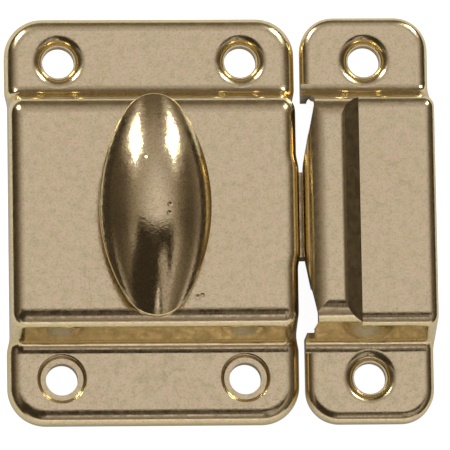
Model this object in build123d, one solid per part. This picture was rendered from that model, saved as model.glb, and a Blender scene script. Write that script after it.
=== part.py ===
from build123d import *
import os
from math import atan2, cos, hypot, radians, sin, sqrt, tan

# A surface-mounted cupboard turn: a pressed case with a turn knob and a sprung latch bolt, and a
# pressed strike beside it. Millimetres. X runs from the case to the strike, Y along the height of
# the plates, Z out of the door. The origin is the middle of the four case screws, on the door.

# Sheet steel
sheet = 0.8
plate_length = 51.7
flange_height = 2.4

# Case
case_width = 36.5
case_corner = 4.8
case_depth = 8.8
case_waist = 0.35
case_edge_round = 1.8
case_screws_x = 22.9
case_screws_y = 40.4

# Raised middle of both plates, measured along the height
foot_half_length = 16.05
wall_draft = 17.0
foot_round = 1.5
crest_round = 2.4
waist_run = 1.6
waist_round = 3.0
bolt_bulge = 0.3
bulge_past_bolt = 1.7

# Dimpled screw holes
screw_hole = 4.0
dimple_wall = 0.65
collar_wall = 0.6
dimple_heel_round = 0.12
dimple_margin = 0.05
funnel_depth = 0.85
funnel_seat_radius = 2.25
funnel_mouth_radius = 2.7
funnel_mouth_round = 1.3
step_depth = 0.5
step_seat_radius = 2.7
step_mouth_radius = 3.0
step_mouth_round = 0.3

# Strike
strike_gap = 0.75
strike_width = 16.1
strike_corner = 4.2
strike_edge_round = 1.3
strike_flare = 0.25
plateau_depth = 8.3
plateau_crest_round = 1.8
ridge_rise = 1.8
ridge_right = 4.6
ridge_slope_run = 2.15
ridge_end_round = 3.0
ridge_side_round = 0.9
lip_round = 3.0
lip_overhang = 0.3
lip_edge_height = 6.3
lip_set_back = 1.6
lip_straight_half = 5.7
lip_bend_round = 8.0
lip_half_length = 14.1
mouth_past_lip = 1.0
mouth_corner_run = 0.6
least_round = 0.2

# Turn knob
knob_width = 13.9
knob_side_radius = 22.5
knob_tip_radius = 4.0
knob_wall = 0.6
knob_skirt = 1.0
knob_crown = 4.5
knob_axis_drop = 3.6
knob_rim_rise = 0.5
knob_hem = 1.2
knob_fold_round = 0.4
knob_back_thickness = 0.8
knob_lift = 2.2
knob_turn_limit = 70.0

# Spindle, washer and cam
spindle_radius = 2.5
neck_radius = 3.5
tenon_radius = 2.2
tenon_head_radius = 3.2
tenon_head = 1.0
square_side = 3.0
peened_radius = 2.1
peened_height = 0.5
bearing_wall = 0.7
washer_thickness = 0.35
washer_radius = 5.2
cam_thickness = 1.6
cam_hub = 2.6
cam_rest_reach = 2.7
cam_base_radius = 3.6
cam_lobe_width = 1.8
cam_back_rise = 0.4
cam_back_lean = 0.5
cam_lift = 0.6
flank_steps = 14

# Latch bolt and its spring
bolt_half_width = 5.4
bolt_tip_x = 22.6
bolt_top = 4.7
bolt_bevel_run = 3.2
bolt_nose_edge = 1.1
bolt_corner_round = 0.8
bolt_plate = 2.45
bolt_body_half_width = 9.5
bolt_tail_x = -8.0
window_bottom = -8.3
window_top = 3.0
window_corner_round = 0.8
window_spare = 0.3
bolt_root = 6.0
tang_length = 3.2
tang_width = 1.6
tang_height = 1.2
spring_wire = 0.5
spring_mean_radius = 1.4
spring_turns = 6

# Back plate and the tabs that hold it
channel_half_width = 10.6
channel_wall_reach = 15.8
seat_half_width = 4.0
seat_top = 5.4
back_hole_radius = 2.9
tab_width = 3.0
tab_reach = 1.8
tab_place = 8.0

# Clearances
fit = 0.03
running = 0.06
sliding = 0.15
bolt_gap = 0.1

# Levels up from the door
tab_top = sheet
back_floor = tab_top + running
back_top = back_floor + sheet
bolt_floor = back_top + bolt_gap
bolt_plate_top = bolt_floor + bolt_plate
cam_floor = bolt_floor + cam_lift
cam_top = cam_floor + cam_thickness
case_ceiling = case_depth - sheet
bearing_foot = cam_top + 2 * sliding
washer_floor = case_depth + fit
neck_floor = washer_floor + washer_thickness + fit
knob_floor = case_depth + knob_lift
knob_axis_z = knob_floor + knob_skirt
knob_tip_y = sqrt((knob_side_radius - knob_tip_radius) ** 2 - (knob_side_radius - knob_width / 2) ** 2)
knob_half_length = knob_tip_y + knob_tip_radius
knob_back_floor = knob_floor + knob_wall + fit
knob_back_top = knob_back_floor + knob_back_thickness
spring_axis_z = bolt_floor + spring_mean_radius + spring_wire / 2

# Places across the case and the strike
case_half = case_width / 2
wall_outside = case_half - case_waist
wall_inside = wall_outside - sheet
waist_start = foot_half_length + waist_run / 4
bulge_start = bolt_half_width + bulge_past_bolt
strike_left = case_half + strike_gap
strike_x = strike_left + strike_width / 2
mouth_half_length = lip_half_length + mouth_past_lip
bolt_travel = cam_base_radius * radians(knob_turn_limit)
seat_x = -(wall_inside - sliding)

# The two kinds of dimple: depth, seat radius, mouth radius, rounding of the mouth
funnel_dimple = (funnel_depth, funnel_seat_radius, funnel_mouth_radius, funnel_mouth_round)
step_dimple = (step_depth, step_seat_radius, step_mouth_radius, step_mouth_round)

# Reach of cutting blocks past the plates, lap of one body's blocks, and what counts as equal
below = 4.0
above = 30.0
beyond = 60.0
lap = 0.2
tiny = 1e-4


def stepped_bar(top, rise_foot, length, inset=0.0, crest=crest_round):
    """A long bar whose side view is the plate's: flange, drafted wall, raised middle."""
    slope = tan(radians(wall_draft))
    foot_y = rise_foot
    crest_y = foot_y - (top - flange_height) * slope
    corner = inset * tan(radians(90 - wall_draft) / 2)
    foot_in = foot_y - corner
    crest_in = crest_y - corner
    low = flange_height - inset
    high = top - inset
    outline = Polyline(
        (-plate_length, -below),
        (-plate_length, low),
        (-foot_in, low),
        (-crest_in, high),
        (crest_in, high),
        (foot_in, low),
        (plate_length, low),
        (plate_length, -below),
        close=True,
    )
    bar = extrude(Plane.YZ * make_face(outline), amount=length, both=True)
    feet = [e for e in bar.edges().filter_by(Axis.X) if abs(abs(e.center().Y) - foot_in) < tiny]
    bar = fillet(feet, foot_round + inset)
    ends = [e for e in bar.edges().filter_by(Axis.X) if abs(abs(e.center().Y) - crest_in) < tiny]
    return fillet([e for e in ends if abs(e.center().Z - high) < tiny], crest - inset)


def waisted_block(width, corner, left_steps, right_steps, inset=0.0):
    """A rounded rectangle stood up as a block, its long sides stepped in or out along their run."""
    half = width / 2 - inset
    tall = plate_length / 2 - inset
    points = []
    for side, steps in ((1, right_steps), (-1, left_steps)):
        x = half
        lower = [(half, -tall)]
        for start, step in steps:
            lower += [(x, -start), (x - step, waist_run - start)]
            x -= step
        upper = [(near, -low) for near, low in reversed(lower)]
        points += [(side * near, side * low) for near, low in lower + upper]
    outline = make_face(Polyline(*points, close=True))
    bends = [v for v in outline.vertices() if abs(v.Y) < tall - tiny]
    if bends:
        outline = fillet(bends, waist_round)
    outline = fillet([v for v in outline.vertices() if abs(abs(v.Y) - tall) < tiny], corner - inset)
    return extrude(Plane.XY.offset(-below) * outline, amount=above)


def rounded_rim(body, amount):
    """The same body with the edge between its upright sides and its top surface rounded over."""
    found = []
    for face in body.faces():
        if abs(face.normal_at(face.center()).Z) > tiny:
            continue
        for edge in face.edges():
            box = edge.bounding_box()
            upright = hypot(box.size.X, box.size.Y) < 10 * tiny
            if not upright and box.min.Z > sheet / 2 and edge not in found:
                found.append(edge)
    return fillet(found, amount)


def dimple_cut(x, y, kind):
    """The space a dimple takes out of the top of a flange: a seat, a steep wall, a rounded mouth."""
    depth, seat_radius, mouth_radius, mouth_round = kind
    seat = flange_height - depth
    wall_angle = atan2(depth, mouth_radius - seat_radius)
    edge = mouth_radius + mouth_round * tan(wall_angle / 2) + dimple_margin
    points = [
        (0, seat),
        (seat_radius, seat),
        (mouth_radius, flange_height),
        (edge, flange_height),
        (edge, flange_height + lap),
        (0, flange_height + lap),
    ]
    face = make_face(Polyline(*points, close=True))
    face = fillet([v for v in face.vertices() if abs(v.X - seat_radius) < tiny], dimple_heel_round)
    face = fillet([v for v in face.vertices() if abs(v.X - mouth_radius) < tiny], mouth_round)
    return Pos(x, y, 0) * revolve(Plane.XZ * face, Axis.Z)


def dimple_boss(x, y, kind):
    """The room a dimple fills under the flange, with the collar drawn down to the door at its hole."""
    depth, seat_radius, mouth_radius, mouth_round = kind
    seat = flange_height - depth - sheet
    points = [
        (0, seat),
        (seat_radius + dimple_wall, seat),
        (mouth_radius + dimple_wall, flange_height - sheet),
        (mouth_radius + dimple_wall, flange_height),
        (0, flange_height),
    ]
    bowl = Pos(x, y, 0) * revolve(Plane.XZ * make_face(Polyline(*points, close=True)), Axis.Z)
    return bowl + cylinder_up(-below, flange_height, screw_hole / 2 + collar_wall, x, y)


def cylinder_up(floor, top, radius, x=0, y=0):
    """A round bar standing on a level."""
    return Pos(x, y, floor) * extrude(Circle(radius), amount=top - floor)


def box_between(x, y, z):
    """A block given by its limits along each axis."""
    block = Box(x[1] - x[0], y[1] - y[0], z[1] - z[0])
    return Pos((x[0] + x[1]) / 2, (y[0] + y[1]) / 2, (z[0] + z[1]) / 2) * block


def pressed_plate(outside, inside, holes):
    """Sheet between an outer form and the space under it, dimpled and pierced, open at the back."""
    for x, y, kind in holes:
        outside -= dimple_cut(x, y, kind)
        inside -= dimple_boss(x, y, kind)
    shell = outside - inside
    for x, y, kind in holes:
        shell -= cylinder_up(-below, 2 * flange_height, screw_hole / 2, x, y)
    return shell - box_between((-beyond, beyond), (-beyond, beyond), (-3 * below, 0))


def case_space(inset):
    """The case's outer form, or the space inside it."""
    bar = stepped_bar(case_depth, foot_half_length, case_width, inset)
    left = [(waist_start, case_waist)]
    right = left + [(bulge_start, -bolt_bulge)]
    body = bar & waisted_block(case_width, case_corner, left, right, inset)
    return rounded_rim(body, case_edge_round - inset)


def make_case_cover():
    """The pressed case with its bearing collar, bolt notch and the tabs folded over the back plate."""
    holes = []
    for side in (-1, 1):
        holes.append((side * case_screws_x / 2, case_screws_y / 2, funnel_dimple))
        holes.append((side * case_screws_x / 2, -case_screws_y / 2, step_dimple))
    case = pressed_plate(case_space(0.0), case_space(sheet), holes)
    bore = spindle_radius + running
    case += cylinder_up(bearing_foot, case_ceiling + sheet / 2, bore + bearing_wall)
    case -= cylinder_up(0, above, bore)
    notch_half = bolt_half_width + sliding
    notch_top = bolt_top + sliding
    notch_x = (wall_inside - lap, case_half + lap)
    case -= box_between(notch_x, (-notch_half, notch_half), (-below, notch_top))
    for side in (-1, 1):
        for end in (-1, 1):
            inner, outer = side * (wall_inside - tab_reach), side * (wall_inside + sheet / 2)
            span = (min(inner, outer), max(inner, outer))
            middle = end * tab_place
            case += box_between(span, (middle - tab_width / 2, middle + tab_width / 2), (0, tab_top))
    return case


def make_back_plate():
    """The channel that closes the back of the case and seats the spring."""
    reach = wall_inside - sliding
    wide = channel_half_width
    plate = box_between((-reach, reach), (-wide, wide), (back_floor, back_top))
    for side in (-1, 1):
        near, far = side * (wide - sheet), side * wide
        span = (min(near, far), max(near, far))
        top = case_ceiling - sliding
        reach_x = channel_wall_reach
        plate += box_between((-reach_x, reach_x), span, (back_floor, top))
    half = seat_half_width
    plate += box_between((seat_x, seat_x + sheet), (-half, half), (back_floor, seat_top))
    return plate - cylinder_up(0, case_depth, back_hole_radius)


def strike_space(inset):
    """The strike's outer form, or the space inside it: ears and plateau with the ridge over them."""
    bar = stepped_bar(plateau_depth, foot_half_length, strike_width, inset, plateau_crest_round)
    flare = [(waist_start, -strike_flare)]
    body = bar & waisted_block(strike_width, strike_corner, [], flare, inset)
    body = rounded_rim(body, strike_edge_round - inset)
    half = strike_width / 2
    high = plateau_depth + ridge_rise - inset
    middle = plateau_depth - inset
    low = flange_height
    left = -half - lip_overhang + inset
    turn_in = inset * tan(atan2(ridge_rise, ridge_slope_run) / 2)
    crest_x = -half + ridge_right - turn_in
    toe_x = crest_x + ridge_slope_run
    section = Polyline((left, low), (left, high), (crest_x, high), (toe_x, middle), (toe_x, low), close=True)
    ridge = extrude(Plane.XZ * make_face(section), amount=plate_length, both=True)
    tops = ridge.edges().filter_by(Axis.Y).group_by(Axis.Z)[-1].sort_by(Axis.X)
    ridge = fillet(tops[0], lip_round - inset)
    tops = ridge.edges().filter_by(Axis.Y).group_by(Axis.Z)[-1].sort_by(Axis.X)
    ridge = fillet(tops[-1], max(ridge_side_round - inset, least_round))
    ends = stepped_bar(plateau_depth + ridge_rise, foot_half_length, strike_width, inset, ridge_end_round)
    return Pos(strike_x, 0, 0) * (body + (ridge & ends))


def lip_side():
    """The space beyond the strike's lip: straight beside the bolt, then drawn back to each end."""
    near = strike_left - lip_overhang
    back = near + lip_set_back
    far = near - below
    upper = [
        (near, lip_straight_half),
        (back, lip_half_length),
        (strike_left + mouth_corner_run, mouth_half_length),
        (strike_left, mouth_half_length),
        (strike_left, plate_length),
        (far, plate_length),
    ]
    points = upper + [(x, -y) for x, y in reversed(upper)]
    space = extrude(Plane.XY.offset(-below) * make_face(Polyline(*points, close=True)), amount=above)
    upright = space.edges().filter_by(Axis.Z)
    bends = [e for e in upright if abs(abs(e.center().Y) - lip_straight_half) < tiny]
    return fillet(bends, lip_bend_round)


def make_strike():
    """The pressed strike, open on the side that faces the bolt, its lip bowed toward the case."""
    holes = []
    for end in (-1, 1):
        holes.append((strike_x, end * case_screws_y / 2, funnel_dimple))
    strike = pressed_plate(strike_space(0.0), strike_space(sheet), holes)
    half = mouth_half_length
    mouth = (strike_left - below, strike_left + sheet + lap)
    strike -= box_between(mouth, (-half, half), (-below, lip_edge_height))
    return strike - lip_side()


def knob_outline(inset=0.0):
    """Plan of the knob: two long arcs with rounded tips."""
    centre_x = knob_side_radius - knob_width / 2
    side_radius = knob_side_radius - inset
    tip_radius = knob_tip_radius - inset
    tip_y = knob_tip_y
    reach = side_radius / (knob_side_radius - knob_tip_radius)
    touch_x = -centre_x + centre_x * reach
    touch_y = tip_y * reach
    half_width = knob_width / 2 - inset
    right = ThreePointArc((touch_x, -touch_y), (half_width, 0), (touch_x, touch_y))
    top = ThreePointArc((touch_x, touch_y), (0, tip_y + tip_radius), (-touch_x, touch_y))
    left = ThreePointArc((-touch_x, touch_y), (-half_width, 0), (-touch_x, -touch_y))
    bottom = ThreePointArc((-touch_x, -touch_y), (0, -tip_y - tip_radius), (touch_x, -touch_y))
    return make_face([right, top, left, bottom])


def knob_form(inset, floor):
    """The knob's outline stood up from a floor, crowned by a body turned about a long low axis."""
    tip_y = knob_half_length + knob_wall
    tip_radius = knob_axis_drop + knob_rim_rise
    sagitta = knob_crown + knob_axis_drop - tip_radius
    arc_radius = (knob_half_length**2 + sagitta**2) / (2 * sagitta) - inset
    crown_radius = knob_crown + knob_axis_drop - inset
    end_radius = crown_radius - arc_radius + sqrt(arc_radius**2 - tip_y**2)
    arc = ThreePointArc((end_radius, -tip_y), (crown_radius, 0), (end_radius, tip_y))
    axis_side = Polyline((end_radius, tip_y), (0, tip_y), (0, -tip_y), (end_radius, -tip_y))
    turned = Pos(0, 0, knob_axis_z - knob_axis_drop) * revolve(make_face([arc, axis_side]), Axis.Y)
    prism = Pos(0, 0, floor) * extrude(knob_outline(inset), amount=knob_axis_z + knob_crown - floor)
    return turned & prism


def make_knob_shell():
    """The drawn knob shell with its skirt and the hem turned in under the back disc."""
    shell = knob_form(0, knob_floor)
    shell = fillet(shell.edges(), knob_fold_round)
    opening = extrude(knob_outline(knob_wall + knob_hem), amount=knob_wall + 2 * lap)
    return shell - knob_form(knob_wall, knob_floor + knob_wall) - Pos(0, 0, knob_floor - lap) * opening


def make_knob_back():
    """The disc inside the hem that carries the spindle."""
    disc = Pos(0, 0, knob_back_floor) * extrude(knob_outline(knob_wall + fit), amount=knob_back_thickness)
    disc &= knob_form(knob_wall + fit, knob_back_floor)
    return disc - cylinder_up(0, above, tenon_radius + fit)


def make_spindle():
    """The turned spindle: peened foot, square, journal, neck and riveted tenon."""
    spindle = cylinder_up(cam_floor - peened_height, cam_floor - fit, peened_radius)
    square = Rectangle(square_side, square_side)
    spindle += Pos(0, 0, cam_floor - lap) * extrude(square, amount=cam_thickness + 2 * lap)
    spindle += cylinder_up(cam_top + fit, neck_floor + lap, spindle_radius)
    spindle += cylinder_up(neck_floor, knob_back_floor - fit, neck_radius)
    spindle += cylinder_up(knob_back_floor - lap, knob_back_top + lap, tenon_radius)
    return spindle + cylinder_up(knob_back_top + fit, knob_back_top + tenon_head, tenon_head_radius)


def make_thrust_washer():
    """The washer between the case and the spindle's neck."""
    washer = cylinder_up(washer_floor, washer_floor + washer_thickness, washer_radius)
    return washer - cylinder_up(0, above, spindle_radius + running)


def make_cam():
    """A one-lobed cam with an involute flank: the bolt moves the same way for each degree turned."""
    flank = []
    reach = cam_rest_reach - fit
    for index in range(flank_steps + 1):
        angle = radians(knob_turn_limit) * index / flank_steps
        x = -(reach + cam_base_radius * angle)
        y = -cam_base_radius
        flank.append((x * cos(angle) - y * sin(angle), x * sin(angle) + y * cos(angle)))
    tip_x, tip_y = flank[-1]
    back_x = tip_x + cam_lobe_width
    curve = Spline(*flank)
    edges = Polyline(
        flank[-1],
        (back_x, tip_y + cam_back_rise),
        (back_x + cam_back_lean, -cam_hub / 2),
        (0, 0),
        (-cam_hub + cam_back_lean, -cam_hub / 2),
        flank[0],
    )
    lobe = extrude(make_face([curve, edges]), amount=cam_thickness)
    hub = extrude(Circle(cam_hub), amount=cam_thickness)
    cam = Pos(0, 0, cam_floor) * (lobe + hub)
    hole = Rectangle(square_side + 2 * fit, square_side + 2 * fit)
    return cam - Pos(0, 0, cam_floor - lap) * extrude(hole, amount=cam_thickness + 2 * lap)


def make_latch_bolt():
    """The sliding bolt: bevelled nose, wide body with the cam's window, tang for the spring."""
    stop_x = wall_inside - bolt_gap
    half = bolt_body_half_width
    body = box_between((bolt_tail_x, stop_x), (-half, half), (bolt_floor, bolt_plate_top))
    body = fillet(body.edges().filter_by(Axis.Z), bolt_corner_round)
    nose_floor = bolt_top - bolt_nose_edge
    side = Polyline(
        (stop_x - bolt_root, bolt_floor),
        (bolt_tip_x - bolt_bevel_run, bolt_floor),
        (bolt_tip_x, nose_floor),
        (bolt_tip_x, bolt_top),
        (stop_x - bolt_root, bolt_top),
        close=True,
    )
    nose = extrude(Plane.XZ * make_face(side), amount=bolt_half_width, both=True)
    tip = [e for e in nose.edges().filter_by(Axis.Z) if abs(e.center().X - bolt_tip_x) < tiny]
    nose = fillet(tip, bolt_corner_round)
    window_x = (-cam_rest_reach, cam_hub + bolt_travel + window_spare)
    window = box_between(window_x, (window_bottom, window_top), (0, case_depth))
    window = fillet(window.edges().filter_by(Axis.Z), window_corner_round)
    bolt = body + nose - window
    low = spring_axis_z - tang_height / 2
    span = (bolt_tail_x - tang_length, bolt_tail_x + lap)
    tang = box_between(span, (-tang_width / 2, tang_width / 2), (low, low + tang_height))
    return bolt + tang


def make_bolt_spring():
    """The compression spring between the bolt's tail and its seat."""
    start = seat_x + sheet + spring_wire / 2 + fit
    stop = bolt_tail_x - spring_wire / 2 - fit
    length = stop - start
    helix = Helix(pitch=length / spring_turns, height=length, radius=spring_mean_radius)
    wire = sweep(Plane(origin=helix @ 0, z_dir=helix % 0) * Circle(spring_wire / 2), path=helix)
    return Pos(start, 0, spring_axis_z) * Rot(0, 90, 0) * wire


nodes = {
    "case_cover": make_case_cover,
    "back_plate": make_back_plate,
    "knob_shell": make_knob_shell,
    "knob_back": make_knob_back,
    "spindle": make_spindle,
    "thrust_washer": make_thrust_washer,
    "cam": make_cam,
    "latch_bolt": make_latch_bolt,
    "bolt_spring": make_bolt_spring,
    "strike": make_strike,
}

os.makedirs("parts", exist_ok=True)
for name, maker in nodes.items():
    piece = maker()
    piece = piece.solid() if len(piece.solids()) == 1 else piece
    piece.label = name
    export_step(piece, "parts/" + name + ".step")
    box = piece.bounding_box()
    print(name, len(piece.solids()), round(piece.volume, 1), piece.is_valid, box.min, box.max)
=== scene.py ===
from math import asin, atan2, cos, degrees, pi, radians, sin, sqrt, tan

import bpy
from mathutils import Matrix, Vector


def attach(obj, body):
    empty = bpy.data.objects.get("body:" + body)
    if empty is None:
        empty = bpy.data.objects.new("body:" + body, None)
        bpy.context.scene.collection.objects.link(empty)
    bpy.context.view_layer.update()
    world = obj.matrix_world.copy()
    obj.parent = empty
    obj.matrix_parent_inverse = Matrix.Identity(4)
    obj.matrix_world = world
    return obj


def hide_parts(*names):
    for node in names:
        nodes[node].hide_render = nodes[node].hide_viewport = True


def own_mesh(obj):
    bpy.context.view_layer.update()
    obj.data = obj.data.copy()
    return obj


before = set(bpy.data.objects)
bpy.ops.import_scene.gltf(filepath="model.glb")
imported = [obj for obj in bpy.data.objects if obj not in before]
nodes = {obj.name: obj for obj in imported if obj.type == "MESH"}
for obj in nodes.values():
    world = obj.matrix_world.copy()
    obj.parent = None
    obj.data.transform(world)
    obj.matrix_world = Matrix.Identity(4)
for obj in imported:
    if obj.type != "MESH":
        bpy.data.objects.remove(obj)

# %% [markdown]
# A cupboard turn is two small pressings of thin steel, plated with brass. The case holds a knob
# and a sprung bolt, and the strike beside it catches the bolt under a rolled lip. The shapes come
# ready made from the frame. This script gives them their finish, their light and their camera.

mm = 0.001
scene = bpy.context.scene
scene.view_settings.view_transform = "Standard"
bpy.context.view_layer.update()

# %% [markdown]
# The camera looks almost straight down on the plates, from a little below and a little to the
# left, through a long lens, so that upright walls hardly show and sizes can be compared. Its lens
# is worked out from the width that the picture spans at the part. The angles are in degrees.

# %% Camera
sensor_width = 36
picture_width = 56.4 * mm
camera_distance = 0.85
camera_below = 10.5
camera_left = 3.5
camera_roll = -0.95
nearest_shown = 0.05
aim = Vector((9.24 * mm, -0.62 * mm, 1.3 * mm))
toward = Vector((-sin(radians(camera_left)), -sin(radians(camera_below)), 1.0))
toward.z = sqrt(1 - toward.x**2 - toward.y**2)
right = Vector((0, 1, 0)).cross(toward).normalized()
up = toward.cross(right)
turn = Matrix((right, up, toward)).transposed()
camera_data = bpy.data.cameras.new("camera")
camera_data.sensor_width = sensor_width
camera_data.lens = sensor_width * camera_distance / picture_width
camera_data.clip_start = nearest_shown
camera = bpy.data.objects.new("camera", camera_data)
place = Matrix.Translation(aim + toward * camera_distance)
camera.matrix_world = place @ turn.to_4x4() @ Matrix.Rotation(radians(camera_roll), 4, "Z")
scene.collection.objects.link(camera)
scene.camera = camera
print("lens, mm:", round(camera_data.lens))

# %% [markdown]
# Colours are written as sRGB hex values, the way they are picked from a picture, and turned into
# the linear values that Blender mixes. One helper makes any node with its values and links, so
# that each tree below reads as a list of its nodes.

# %% Colour and node helpers


def linear(hex_code):
    """The linear colour of an sRGB hex value."""
    values = [int(hex_code[i : i + 2], 16) / 255 for i in (0, 2, 4)]
    return [v / 12.92 if v <= 0.04045 else ((v + 0.055) / 1.055) ** 2.4 for v in values] + [1.0]


def add(tree, kind, settings=None, values=None, links=None):
    """A node of that kind, with its own settings, its sockets' values and what joins its sockets."""
    node = tree.nodes.new(kind)
    for key, value in (settings or {}).items():
        setattr(node, key, value)
    for key, value in (values or {}).items():
        node.inputs[key].default_value = value
    for key, source in (links or {}).items():
        tree.links.new(source, node.inputs[key])
    return node


def new_material(name):
    """An empty material with its output node."""
    material = bpy.data.materials.new(name)
    material.use_nodes = True
    material.node_tree.nodes.clear()
    output = material.node_tree.nodes.new("ShaderNodeOutputMaterial")
    return material, material.node_tree, output


print("sRGB 808080 is linear", round(linear("808080")[0], 3))

# %% [markdown]
# The room is a faint, even white. It only lifts the deepest shade, and the light that shapes the
# part comes from the tent and the lamps further on, where it can be placed.

# %% World
world_colour = "F2F2F2"
world_strength = 0.1
world = bpy.data.worlds.new("studio")
scene.world = world
world.use_nodes = True
background = world.node_tree.nodes["Background"].inputs
background["Color"].default_value = linear(world_colour)
background["Strength"].default_value = world_strength
print("world:", world_colour, "at", world_strength)

# %% [markdown]
# The floor shows white to the camera, yet it still takes the soft shadow that sets the part down.
# More light would whiten it too, but would wash out the metal, so the floor glows by itself, most
# of all for the camera. A bright rim mirrors the floor close beside it, so that glow fades for
# metal where the part stands in its way, and the rims come out grey beige instead of white.

# %% Floor
floor_half = 3.0
floor_paint = "D6D6D6"

# What the floor adds to its own shade. Metal shows it dimmer, and darker still within the reach
# of the shade that gathers close under the part's edges
glow_for_camera = 0.95
glow_for_metal = 0.34
shade_reach = 22 * mm
shade_samples = 8


def make_floor():
    """A wide pale floor that shows white and still takes a soft shadow."""
    mesh = bpy.data.meshes.new("floor")
    ends = ((-1, -1), (1, -1), (1, 1), (-1, 1))
    mesh.from_pydata([(x * floor_half, y * floor_half, 0) for x, y in ends], [], [(0, 1, 2, 3)])
    floor = bpy.data.objects.new("floor", mesh)
    scene.collection.objects.link(floor)
    material, tree, output = new_material("pale_floor")
    paint = add(tree, "ShaderNodeBsdfDiffuse", values={"Color": linear(floor_paint)})
    path = add(tree, "ShaderNodeLightPath")
    samples, reach = {"samples": shade_samples}, {"Distance": shade_reach}
    shade = add(tree, "ShaderNodeAmbientOcclusion", samples, reach)
    times, plus = {"operation": "MULTIPLY"}, {"operation": "MULTIPLY_ADD"}
    rays = {0: path.outputs["Is Glossy Ray"], 1: shade.outputs["AO"]}
    metal = add(tree, "ShaderNodeMath", times, links=rays)
    strength = add(tree, "ShaderNodeMath", times, {1: glow_for_metal}, {0: metal.outputs[0]})
    for ray in ("Is Camera Ray", "Is Transmission Ray"):
        links = {0: path.outputs[ray], 2: strength.outputs[0]}
        strength = add(tree, "ShaderNodeMath", plus, {1: glow_for_camera}, links)
    glow = add(tree, "ShaderNodeEmission", links={"Strength": strength.outputs[0]})
    both = add(tree, "ShaderNodeAddShader", links={0: paint.outputs[0], 1: glow.outputs[0]})
    tree.links.new(both.outputs[0], output.inputs["Surface"])
    mesh.materials.append(material)


make_floor()
print("floor glow:", glow_for_camera, "to the camera,", glow_for_metal, "to metal")

# %% [markdown]
# What a mirror shows is easiest to place by direction: an azimuth round the part and an elevation
# above the floor, as on a globe. Two helpers turn such angles into places and turns.

# %% Directions


def from_angles(azimuth, elevation, distance=1.0):
    """A place at an azimuth from +X and an elevation above the floor."""
    a, e = radians(azimuth), radians(elevation)
    return Vector((distance * cos(e) * cos(a), distance * cos(e) * sin(a), distance * sin(e)))


def facing(place):
    """A turn that lays X level and Y upward across the line from the object to a place."""
    back = Vector(place).normalized()
    side = Vector((0, 0, 1)).cross(back).normalized()
    return Matrix((side, back.cross(side), back)).transposed().to_4x4()


left_light = (127, 31)
right_light = (53, 31)
print("toward the left light:", [round(c, 2) for c in from_angles(*left_light)])

# %% [markdown]
# Polished metal has little colour of its own: it shows what stands around it. So the part stands
# in a light tent, a dome whose brightness is set for each direction. It is grey overhead, for the
# flat faces to mirror, with dark sides that draw the black lines along the bends, and with the
# dark shape of the camera. Every angle is in degrees, and a level of 1 is close to white.

# %% Brightness of the tent
# The tent's four sides, each as pairs of elevation and level
right_side = ((0, 0.2), (10, 0.14), (22, 0.06), (35, 0.06), (47, 0.12), (58, 0.3), (70, 0.5), (80, 0.58))
back_side = ((0, 0.1), (12, 0.1), (21, 0.12), (30, 0.18), (40, 0.3), (55, 0.36), (64, 0.46), (74, 0.58))
left_side = ((0, 0.05), (25, 0.05), (38, 0.07), (48, 0.16), (60, 0.26), (74, 0.4), (88, 0.58))
front_low = ((0, 1), (8, 1), (13, 0.14), (20, 0.16), (27, 0.26), (38, 0.34))
front_high = ((43, 0.8), (50, 0.8), (56, 0.12), (88, 0.58))
tent_sides = (right_side, back_side, left_side, front_low + front_high)


def soft_step(off_centre, half_width, softness):
    """One inside a half width, falling smoothly to nothing across a soft edge."""
    t = min(max((half_width - abs(off_centre)) / softness + 0.5, 0.0), 1.0)
    return t * t * (3 - 2 * t)


def along(steps, elevation):
    """The level at an elevation, on a line drawn through pairs of elevation and level."""
    for (low, dim), (high, bright) in zip(steps, steps[1:]):
        if low <= elevation <= high:
            return dim + (bright - dim) * (elevation - low) / (high - low)
    return steps[-1][1]


def tent_level(direction, patches):
    """The tent's brightness that way: a mix of its two nearest sides, then each patch over it."""
    elevation = degrees(asin(direction.z))
    quarters = (degrees(atan2(direction.y, direction.x)) % 360) / 90
    side, beyond = int(quarters) % 4, quarters % 1
    level = along(tent_sides[side], elevation) * (1 - beyond)
    level += along(tent_sides[(side + 1) % 4], elevation) * beyond
    for turn, half_width, half_height, softness, patch_level in patches:
        across, rise, ahead = turn @ direction
        amount = soft_step(degrees(atan2(across, ahead)), half_width, softness)
        amount *= soft_step(degrees(asin(rise)), half_height, softness)
        level += (patch_level - level) * amount
    return level


print("tent overhead, without patches:", round(tent_level(Vector((0, 0, 1)), []), 2))

# %% [markdown]
# The tent and the low cards are surfaces that glow, each point by its own level. The camera
# doesn't see them and they throw no shadow, so only the metal shows them. Dim parts of a room
# are warm and bright parts are cool, and the glow's hue follows its level in the same way.

# %% Glowing surfaces
tent_power = 1.14
dark_level, dark_hue = 0.05, "FFE7D7"
pale_level, pale_hue = 0.45, "F0EAFF"


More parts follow.
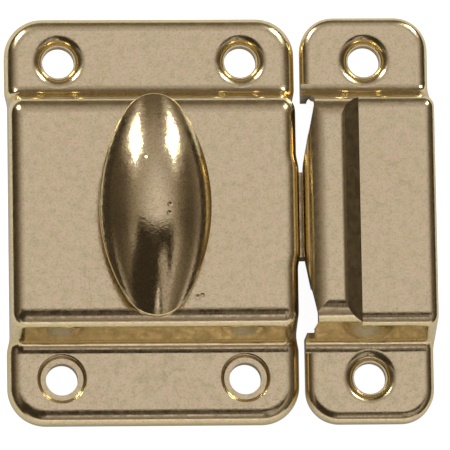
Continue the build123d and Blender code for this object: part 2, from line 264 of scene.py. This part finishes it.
def make_glow(name, points, faces, levels):
    """A surface that glows by the level at its points, unseen by the camera and without shadow."""
    mesh = bpy.data.meshes.new(name)
    mesh.from_pydata(points, [], faces)
    grades = mesh.attributes.new("level", "FLOAT", "POINT")
    grades.data.foreach_set("value", levels)
    material, tree, output = new_material(name)
    level = add(tree, "ShaderNodeAttribute", {"attribute_name": "level"}).outputs["Fac"]
    levels_between = {"From Min": dark_level, "From Max": pale_level}
    whiter = add(tree, "ShaderNodeMapRange", values=levels_between, links={"Value": level})
    # Sockets 6 and 7 of a Mix node are its two colours, and output 2 is the mixed colour
    ends = {6: linear(dark_hue), 7: linear(pale_hue)}
    hue = add(tree, "ShaderNodeMix", {"data_type": "RGBA"}, ends, {0: whiter.outputs[0]})
    power = add(tree, "ShaderNodeMath", {"operation": "MULTIPLY"}, {1: tent_power}, {0: level})
    links = {"Strength": power.outputs[0], "Color": hue.outputs[2]}
    glow = add(tree, "ShaderNodeEmission", links=links)
    tree.links.new(glow.outputs[0], output.inputs["Surface"])
    mesh.materials.append(material)
    body = bpy.data.objects.new(name, mesh)
    body.visible_camera = False
    body.visible_shadow = False
    scene.collection.objects.link(body)
    return body


print("glow at full level:", tent_power)

# %% [markdown]
# The tent could be a picture wrapped round the scene, but a dome of points is quicker to reshape:
# each patch is one line below, a rounded rectangle seen in some direction. A few degrees between
# points are fine enough, because the metal blurs what it mirrors.

# %% Light tent
tent_radius = 1.2
tent_step = 3

# Each patch: azimuth, elevation, half width, half height, softness, level
camera_shape = (-92, 73, 32, 14, 8, 0.03)
dark_corner = (236, 46, 24, 28, 6, 0.03)
dark_post = (285, 46, 3, 20, 3, 0.06)
grey_wall = (300, 48, 7, 20, 6, 0.34)
left_halo = (*left_light, 14, 20, 16, 0.5)
right_halo = (*right_light, 14, 20, 16, 0.5)


def make_tent(patches):
    """The dome, as rings of points every few degrees."""
    placed = []
    for azimuth, elevation, *rest in patches:
        placed.append([facing(from_angles(azimuth, elevation)).to_3x3().transposed(), *rest])
    columns, rows = 360 // tent_step, 90 // tent_step
    points, levels, faces = [], [], []
    for row in range(rows):
        for column in range(columns):
            direction = from_angles(column * tent_step, row * tent_step)
            points.append(direction * tent_radius)
            levels.append(tent_level(direction, placed))
    points.append(Vector((0, 0, tent_radius)))
    levels.append(tent_level(Vector((0, 0, 1)), placed))
    for column in range(columns):
        beside = (column + 1) % columns
        for row in range(rows - 1):
            near, far = row * columns, (row + 1) * columns
            faces.append((near + column, far + column, far + beside, near + beside))
        top = (rows - 1) * columns
        faces.append((top + column, len(points) - 1, top + beside))
    return make_glow("light_tent", points, faces, levels)


tent = make_tent([camera_shape, dark_corner, dark_post, grey_wall, left_halo, right_halo])
print("light tent faces:", len(tent.data.polygons))

# %% [markdown]
# Two softboxes inside the tent give the knob its long highlights. A lamp is used for them,
# because it lights the part with less noise than a small bright patch of the tent would.

# %% Softboxes
softbox_distance = 0.8
softbox_spread = (14, 23)
softbox_brightness = 7.0


def make_softbox(name, azimuth, elevation):
    """A rectangular lamp given by its direction, sized by the angles that it spans."""
    width, height = (2 * softbox_distance * tan(radians(angle / 2)) for angle in softbox_spread)
    lamp = bpy.data.lights.new(name, "AREA")
    lamp.shape = "RECTANGLE"
    lamp.size, lamp.size_y = width, height
    lamp.energy = softbox_brightness * pi * width * height
    body = bpy.data.objects.new(name, lamp)
    place = from_angles(azimuth, elevation, softbox_distance)
    body.matrix_world = Matrix.Translation(place) @ facing(place)
    body.visible_camera = False
    scene.collection.objects.link(body)
    return body


softboxes = [make_softbox("left_softbox", *left_light), make_softbox("right_softbox", *right_light)]
print("softboxes, watts:", [round(box.data.energy, 3) for box in softboxes])

# %% [markdown]
# Upright walls mirror what stands level with them, just above the floor. Low dark cards on three
# sides give them something to show besides the pale floor.

# %% Low cards
card_height = 16
card_left, card_right = -46, 62
card_front, card_back = -60, 60
back_card_at = 58
side_level, back_level = 0.04, 0.12


def low_card(name, start, stop, level):
    """A low card that stands on the floor between two places."""
    feet = [(x * mm, y * mm, 0) for x, y in (start, stop)]
    heads = [(x, y, card_height * mm) for x, y, _ in reversed(feet)]
    make_glow(name, feet + heads, [(0, 1, 2, 3)], [level] * 4)


low_card("card_left", (card_left, card_back), (card_left, card_front), side_level)
low_card("card_right", (card_right, card_front), (card_right, card_back), side_level)
low_card("card_back", (card_right, back_card_at), (card_left, back_card_at), back_level)
print("low cards, mm:", card_height, "high, from", card_left, "to", card_right)

# %% [markdown]
# Handling leaves marks on plating: a few faint rubbed lines, and small dings where something hard
# has struck it. The lines are the edges of large cells, bent by a noise so that none runs
# straight, and shown only in some patches. The dings could be pressed into the mesh, but a bump
# is enough for dips of less than half a millimetre in radius.

# %% Rub lines and dings
rub_curl_size, rub_curl_reach, rub_spacing = 2.5, 3, 5
# How far from its middle a line is whole and where it ends, in spacings, and how strong it is
rub_whole, rub_end, rub_share = 0.004, 0.02, 0.22
rub_patch_start, rub_patch_whole = 0.52, 0.62

# Small dings: place and radius in mm, and the share of the radius that is flat
plate_dings = ((5.25, -11.15, 8.8, 0.45), (5.85, -10.85, 8.8, 0.3))
knob_dings = ((-1.45, 5.4, 15.72, 0.4), (1.55, -0.8, 16.3, 0.35), (1.45, -1.85, 16.26, 0.35))
ding_flat = 0.3


def rub_lines(tree, place, patches):
    """Thin wandering lines, found only where the patches are thick."""
    size = {"Scale": 1 / (rub_curl_size * mm)}
    curl = add(tree, "ShaderNodeTexNoise", values=size, links={"Vector": place})
    scale, reach = {"operation": "SCALE"}, {"Scale": rub_curl_reach * mm}
    shift = add(tree, "ShaderNodeVectorMath", scale, reach, {0: curl.outputs["Color"]})
    both = {0: place, 1: shift.outputs[0]}
    bent = add(tree, "ShaderNodeVectorMath", {"operation": "ADD"}, links=both)
    edges, spacing = {"feature": "DISTANCE_TO_EDGE"}, {"Scale": 1 / (rub_spacing * mm)}
    cells = add(tree, "ShaderNodeTexVoronoi", edges, spacing, {"Vector": bent.outputs[0]})
    fade = {"From Min": rub_whole, "From Max": rub_end, "To Min": rub_share, "To Max": 0.0}
    from_edge = {"Value": cells.outputs["Distance"]}
    line = add(tree, "ShaderNodeMapRange", values=fade, links=from_edge)
    gather = {"From Min": rub_patch_start, "From Max": rub_patch_whole}
    thick = add(tree, "ShaderNodeMapRange", values=gather, links={"Value": patches})
    both = {0: line.outputs[0], 1: thick.outputs[0]}
    return add(tree, "ShaderNodeMath", {"operation": "MULTIPLY"}, links=both).outputs[0]


def struck(tree, place, dings):
    """A height that is whole, and drops to nothing in a few dings."""
    height = None
    for x, y, z, radius in dings:
        spot = {1: (x * mm, y * mm, z * mm)}
        gap = add(tree, "ShaderNodeVectorMath", {"operation": "DISTANCE"}, spot, {0: place})
        wall = {"From Min": ding_flat * radius * mm, "From Max": radius * mm}
        links = {"Value": gap.outputs["Value"]}
        level = add(tree, "ShaderNodeMapRange", values=wall, links=links).outputs[0]
        if height:
            both = {0: height, 1: level}
            level = add(tree, "ShaderNodeMath", {"operation": "MINIMUM"}, links=both).outputs[0]
        height = level
    return height


print("dings:", len(plate_dings), "on the case,", len(knob_dings), "on the knob")

# %% [markdown]
# Up close the plating isn't even: soft pink and olive clouds about a millimetre wide, a finer
# grain between them, and a surface that waves a little, so that mirrored edges wander. Noise
# textures in the piece's own coordinates draw all of these, each at its own real size, and need
# no unwrapping and show no seam. Every finish here is this one recipe with its own hues, gloss
# and wave.

# %% Recipe for bright metal
# Each noise by what it draws: the width of its clouds in mm, and its detail
noise_sizes = {
    "rub patches": (6.0, 2.0),
    "pink clouds": (1.3, 3.0),
    "olive clouds": (0.9, 3.0),
    "grain": (0.26, 2.0),
    "waves": (4.0, 1.0),
    "speckle": (0.34, 2.0),
}

# Each layer of colour by its noise: the values where it starts and is whole, and its strength
colour_layers = {
    "pink clouds": (0.48, 0.66, 0.55),
    "olive clouds": (0.48, 0.7, 0.5),
    "grain": (0.48, 0.78, 0.42),
}
gloss_start, gloss_end = 0.35, 0.65
ding_depth = 0.045


def plated(name, hues, mark, roughness, wave, speckle, dings=()):
    """Bright metal, slightly wavy and mottled, with faint rub lines. Heights are in mm."""
    material, tree, output = new_material(name)
    place = add(tree, "ShaderNodeTexCoord").outputs["Object"]
    noises = {}
    for label, (size, detail) in noise_sizes.items():
        values = {"Scale": 1 / (size * mm), "Detail": detail}
        noise = add(tree, "ShaderNodeTexNoise", values=values, links={"Vector": place})
        noises[label] = noise.outputs["Fac"]

    covers = []
    for label, (start, whole, strength) in colour_layers.items():
        values = {"From Min": start, "From Max": whole, "To Max": strength}
        cover = add(tree, "ShaderNodeMapRange", values=values, links={"Value": noises[label]})
        covers.append(cover.outputs[0])
    covers.append(rub_lines(tree, place, noises["rub patches"]))
    base = add(tree, "ShaderNodeRGB")
    base.outputs[0].default_value = linear(hues[0])
    tint = base.outputs[0]
    for cover, hue in zip(covers, (hues[1], hues[2], mark, mark)):
        over, links = {7: linear(hue)}, {0: cover, 6: tint}
        tint = add(tree, "ShaderNodeMix", {"data_type": "RGBA"}, over, links).outputs[2]

    heights = [(noises["waves"], wave), (noises["speckle"], speckle)]
    if dings:
        heights.append((struck(tree, place, dings), ding_depth))
    below = {}
    for height, distance in heights:
        links = {"Height": height, **below}
        bump = add(tree, "ShaderNodeBump", values={"Distance": distance * mm}, links=links)
        below = {"Normal": bump.outputs[0]}

    values = {"From Min": gloss_start, "From Max": gloss_end}
    values |= {"To Min": roughness[0], "To Max": roughness[1]}
    rough = add(tree, "ShaderNodeMapRange", values=values, links={"Value": noises["olive clouds"]})
    links = {"Base Color": tint, "Roughness": rough.outputs[0], **below}
    shader = add(tree, "ShaderNodeBsdfPrincipled", values={"Metallic": 1.0}, links=links)
    tree.links.new(shader.outputs[0], output.inputs["Surface"])
    return material


print("noise sizes, mm:", {label: size for label, (size, detail) in noise_sizes.items()})

# %% [markdown]
# What shows is brass plating, brightest on the knob, which is polished after it is drawn, and
# dullest on the bolt, which slides. The pieces inside are zinc plated or plain steel, as in most
# such turns, and hardly show.

# %% Finishes
# Brass-plated cold-rolled steel: warm and bright, its dents and rounds softly speckled
sheet_hues, sheet_mark = ("F8E6AF", "FFE2B6", "ECE1A4"), "B39A60"
case_brass = plated(
    "brass_plated_sheet", sheet_hues, sheet_mark, (0.12, 0.24), wave=0.02, speckle=0.008, dings=plate_dings
)

# The same plating on the drawn knob, polished further, so that it mirrors lamps sharply
knob_hues, knob_mark = ("FAE6AC", "FCE0B0", "EEE0A2"), "8C7448"
knob_brass = plated(
    "brass_plated_knob", knob_hues, knob_mark, (0.08, 0.18), wave=0.02, speckle=0.012, dings=knob_dings
)

# Brass plating on the thick bolt, rubbed dull where it slides
bolt_hues, bolt_mark = ("F6DEA4", "FADCA8", "E6D494"), "A08450"
bolt_brass = plated("brass_plated_bolt", bolt_hues, bolt_mark, (0.22, 0.34), wave=0.02, speckle=0.006)

# Zinc-plated steel inside: cool grey with a faint cloudy bloom
zinc_hues, zinc_mark = ("C8C8C6", "C2C2C8", "CACABC"), "8C8C88"
zinc = plated("zinc_plated_steel", zinc_hues, zinc_mark, (0.3, 0.42), wave=0.01, speckle=0.006)

# Turned steel: cleaner than the zinc beside it, and glossier
turned_hues, turned_mark = ("BEBCB8", "B8B8BC", "C2C0B4"), "84827C"
turned = plated("turned_steel", turned_hues, turned_mark, (0.2, 0.3), wave=0.01, speckle=0.003)

# Hard-drawn spring wire: dark grey with a dull sheen
wire_hues, wire_mark = ("8E8E90", "888890", "969690"), "5C5C5C"
wire = plated("drawn_steel_wire", wire_hues, wire_mark, (0.28, 0.38), wave=0.01, speckle=0.004)

finishes = {
    "case_cover": case_brass,
    "strike": case_brass,
    "latch_bolt": bolt_brass,
    "knob_shell": knob_brass,
    "knob_back": knob_brass,
    "spindle": turned,
}
for name, node in nodes.items():
    node.data.materials.clear()
    node.data.materials.append(finishes.get(name, zinc))
print("finishes:", {name: node.data.materials[0].name for name, node in nodes.items()})

# %% [markdown]
# The spring lies between the bolt's tail and its seat. Its sizes are read from the plain solid
# that stands for it in the frame, so that it keeps its place. Sizes are in mm.

# %% Sizes of the bolt spring
spring_wire = 0.5
spring_turns = 7
solid = nodes["bolt_spring"]
corners = [solid.matrix_world @ Vector(corner) for corner in solid.bound_box]
spring_low = Vector([min(corner[axis] for corner in corners) for axis in range(3)]) / mm
spring_high = Vector([max(corner[axis] for corner in corners) for axis in range(3)]) / mm
spring_length = spring_high.x - spring_low.x
spring_radius = (spring_high.z - spring_low.z - spring_wire) / 2
print("spring, mm:", round(spring_length, 2), "long,", round(spring_radius, 2), "in radius")

# %% [markdown]
# The spring is hard-drawn wire, and on the real turn it pushes the bolt out. A Screw modifier
# could coil it, but not with the close first and last turns of a real compression spring. So
# Geometry Nodes bend a straight curve into a helix by a rule, and sweep a circle along it.

# %% Bolt spring as a node group
points_per_turn = 24
wire_sides = 12
# Two closed turns rise by a wire each, and the wire itself is as thick as one more
wires_at_ends = 3.0


def spring_nodes():
    """A node group that makes a compression spring along X from its sizes."""
    tree = bpy.data.node_groups.new("compression_spring", "GeometryNodeTree")
    for label in ("Length", "Radius", "Wire", "Turns"):
        tree.interface.new_socket(label, in_out="INPUT", socket_type="NodeSocketFloat")
    tree.interface.new_socket("Material", in_out="INPUT", socket_type="NodeSocketMaterial")
    tree.interface.new_socket("Geometry", in_out="OUTPUT", socket_type="NodeSocketGeometry")
    given = tree.nodes.new("NodeGroupInput").outputs
    maths, times, minus = "ShaderNodeMath", {"operation": "MULTIPLY"}, {"operation": "SUBTRACT"}

    line = add(tree, "GeometryNodeCurvePrimitiveLine").outputs[0]
    count = {"Count": points_per_turn * spring_turns + 1}
    path = add(tree, "GeometryNodeResampleCurve", values=count, links={"Curve": line}).outputs[0]
    done = add(tree, "GeometryNodeSplineParameter").outputs["Factor"]

    # How far along each point lies: the closed first turn, the open turns, the closed last turn
    over = {"operation": "DIVIDE"}
    first = add(tree, maths, over, {0: 1.0}, {1: given["Turns"]}).outputs[0]
    last = add(tree, maths, minus, {0: 1.0}, {1: first}).outputs[0]
    closed = add(tree, maths, times, {1: wires_at_ends}, {0: given["Wire"]}).outputs[0]
    middle = add(tree, maths, minus, links={0: given["Length"], 1: closed}).outputs[0]
    stretches = (
        {"From Max": first, "To Max": given["Wire"]},
        {"From Min": first, "From Max": last, "To Max": middle},
        {"From Min": last, "To Max": given["Wire"]},
    )
    reach = None
    for links in stretches:
        part = add(tree, "ShaderNodeMapRange", links={"Value": done, **links}).outputs[0]
        if reach:
            part = add(tree, maths, {"operation": "ADD"}, links={0: part, 1: reach}).outputs[0]
        reach = part

    # Where on the circle each point lies
    rounds = add(tree, maths, times, links={0: done, 1: given["Turns"]}).outputs[0]
    angle = add(tree, maths, times, {1: 2 * pi}, {0: rounds}).outputs[0]
    spot = {"X": reach}
    for axis, curve in (("Y", "COSINE"), ("Z", "SINE")):
        swing = add(tree, maths, {"operation": curve}, links={0: angle}).outputs[0]
        spot[axis] = add(tree, maths, times, links={0: swing, 1: given["Radius"]}).outputs[0]
    position = add(tree, "ShaderNodeCombineXYZ", links=spot).outputs[0]
    bent = {"Geometry": path, "Position": position}
    helix = add(tree, "GeometryNodeSetPosition", links=bent).outputs[0]

    half_wire = add(tree, maths, times, {1: 0.5}, {0: given["Wire"]}).outputs[0]
    sides, size = {"Resolution": wire_sides}, {"Radius": half_wire}
    section = add(tree, "GeometryNodeCurvePrimitiveCircle", values=sides, links=size).outputs[0]
    caps, sweep = {"Fill Caps": True}, {"Curve": helix, "Profile Curve": section}
    body = add(tree, "GeometryNodeCurveToMesh", values=caps, links=sweep).outputs[0]
    real = add(tree, "GeometryNodeRealizeInstances", links={"Geometry": body}).outputs[0]
    cover = {"Geometry": real, "Material": given["Material"]}
    covered = add(tree, "GeometryNodeSetMaterial", links=cover).outputs[0]
    tree.links.new(covered, tree.nodes.new("NodeGroupOutput").inputs[0])
    return tree


spring_tree = spring_nodes()
print("spring nodes:", len(spring_tree.nodes))

# %% [markdown]
# The group runs once on an empty mesh, and the outcome becomes the plain mesh that is kept. It
# replaces the plain solid and stays with the case.

# %% Bolt spring


def make_spring():
    """The spring as a finished mesh between the bolt's tail and its seat."""
    seed = bpy.data.objects.new("spring_seed", bpy.data.meshes.new("spring_seed"))
    scene.collection.objects.link(seed)
    modifier = seed.modifiers.new("spring", "NODES")
    modifier.node_group = spring_tree
    sizes = {"Length": spring_length, "Radius": spring_radius, "Wire": spring_wire}
    settings = {name: size * mm for name, size in sizes.items()}
    settings |= {"Turns": float(spring_turns), "Material": wire}
    for item in spring_tree.interface.items_tree:
        if item.in_out == "INPUT":
            modifier[item.identifier] = settings[item.name]
    made = seed.evaluated_get(bpy.context.evaluated_depsgraph_get())
    mesh = bpy.data.meshes.new_from_object(made)
    bpy.data.objects.remove(seed)
    middle = (spring_low + spring_high) / 2
    start = Vector((spring_low.x + spring_wire / 2, middle.y, middle.z)) * mm
    mesh.transform(Matrix.Translation(start))
    for face in mesh.polygons:
        face.use_smooth = True
    spring = bpy.data.objects.new("coil_spring", mesh)
    scene.collection.objects.link(spring)
    return spring


spring = make_spring()
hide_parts("bolt_spring")
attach(spring, "case")
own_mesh(spring)
print("spring faces:", len(spring.data.polygons))
